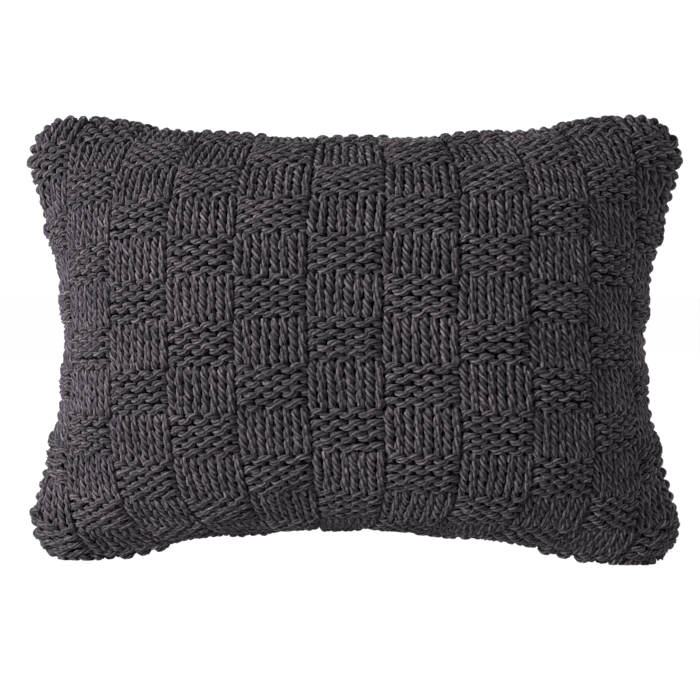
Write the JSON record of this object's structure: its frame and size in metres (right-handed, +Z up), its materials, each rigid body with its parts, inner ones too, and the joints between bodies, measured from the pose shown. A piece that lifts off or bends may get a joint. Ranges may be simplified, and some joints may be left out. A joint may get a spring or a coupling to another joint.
{
  "type": "throw pillow",
  "caption": "Rectangular lumbar throw pillow: a chunky basket-weave knit cover over a lining and a stuffed inner cushion, closed by a coil zip in its lower edge.",
  "frame": {"origin": "on the floor under the middle of the pillow, which stands on its long lower edge", "axes": "+X along the pillow to the viewer's right, +Y through it from the front face to the back, +Z up"},
  "size_m": [0.5052, 0.17, 0.348],
  "materials": {
    "knit_yarn": "matte",
    "lining_cloth": "matte",
    "insert_cloth": "matte",
    "fibre_fill": "matte",
    "label_satin": "satin",
    "zip_tape": "matte",
    "zip_coil": "satin",
    "zip_metal": "satin"
  },
  "bodies": {
    "root": {"front_knit_panel": "knit_yarn", "back_knit_panel": "knit_yarn", "seam_left": "knit_yarn", "seam_right": "knit_yarn", "seam_top": "knit_yarn", "front_lining": "lining_cloth", "back_lining": "lining_cloth", "insert_front_panel": "insert_cloth", "insert_back_panel": "insert_cloth", "insert_fill": "fibre_fill", "care_label": "label_satin", "zip_tape_front": "zip_tape", "zip_tape_back": "zip_tape", "zip_coil_front": "zip_coil", "zip_coil_back": "zip_coil", "zip_top_stop_front": "zip_metal", "zip_top_stop_back": "zip_metal", "zip_bottom_stop": "zip_metal"},
    "slider": {"zip_slider": "zip_metal"},
    "pull": {"zip_pull": "zip_metal"}
  },
  "joints": [
    {"name": "zip_slide", "type": "hinge", "parent": "root", "child": "slider", "pos_m": [0, 0, -0.682], "axis": [0, -1, 0], "range_deg": [0, 22.42]},
    {"name": "pull_swing", "type": "hinge", "parent": "slider", "child": "pull", "pos_m": [0.13929, 0, 0.02068], "axis": [0, -1, 0], "range_deg": [0, 180]}
  ]
}
